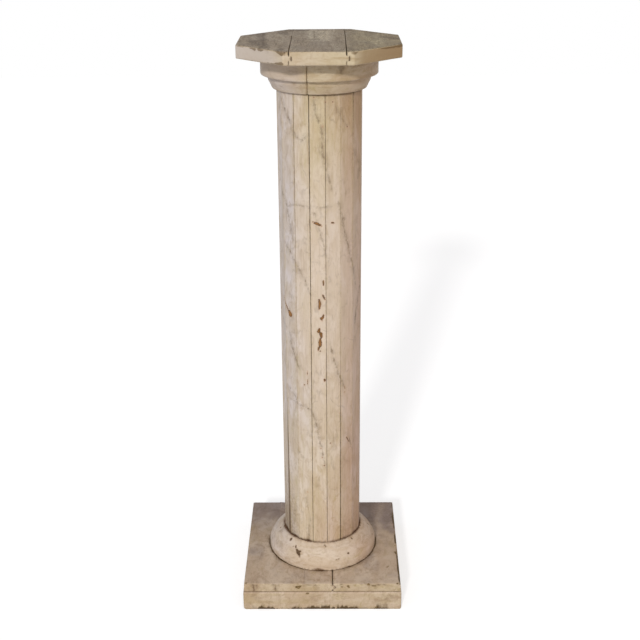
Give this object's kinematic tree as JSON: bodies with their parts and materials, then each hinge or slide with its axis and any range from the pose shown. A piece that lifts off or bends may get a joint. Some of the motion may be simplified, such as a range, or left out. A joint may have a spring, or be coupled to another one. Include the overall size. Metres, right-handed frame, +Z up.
{
  "type": "doric column pedestal",
  "caption": "Wooden doric column pedestal: octagonal top, turned capital, straight shaft of flat staves, moulded ring and square plinth, in worn marbled paint.",
  "frame": {"origin": "centre of the plinth's underside, on the floor", "axes": "+Z up along the shaft, -Y the front, +X to the right of the front; the abacus's and plinth's boards run along Y"},
  "size_m": [0.308, 0.308, 1.069],
  "materials": {
    "shaft_paint": "old cream oil paint with soft grey marbling on softwood staves, crackled and chipped to orange-brown wood, matt to satin",
    "moulding_paint": "old cream and pinkish paint on turned wood, rubbed and lightly chipped, matt to satin",
    "abacus_wood": "bare grey-brown weathered board top, scratched and stained, with cream painted edges",
    "plinth_paint": "dirty cream-brown paint on boards, worn and stained, torn to dark wood along the lower edge"
  },
  "bodies": {
    "root": {"plinth_slab": "plinth_paint", "plinth_board_1": "plinth_paint", "plinth_board_2": "plinth_paint", "plinth_board_3": "plinth_paint", "plinth_board_4": "plinth_paint", "plinth_board_5": "plinth_paint", "base_ring": "moulding_paint", "shaft_stave_01": "shaft_paint", "shaft_stave_02": "shaft_paint", "shaft_stave_03": "shaft_paint", "shaft_stave_04": "shaft_paint", "shaft_stave_05": "shaft_paint", "shaft_stave_06": "shaft_paint", "shaft_stave_07": "shaft_paint", "shaft_stave_08": "shaft_paint", "shaft_stave_09": "shaft_paint", "shaft_stave_10": "shaft_paint", "shaft_stave_11": "shaft_paint", "shaft_stave_12": "shaft_paint", "shaft_stave_13": "shaft_paint", "shaft_stave_14": "shaft_paint", "shaft_stave_15": "shaft_paint", "shaft_stave_16": "shaft_paint", "capital_left": "moulding_paint", "capital_right": "moulding_paint", "abacus_board_left": "abacus_wood", "abacus_board_middle": "abacus_wood", "abacus_board_right": "abacus_wood"}
  },
  "joints": []
}
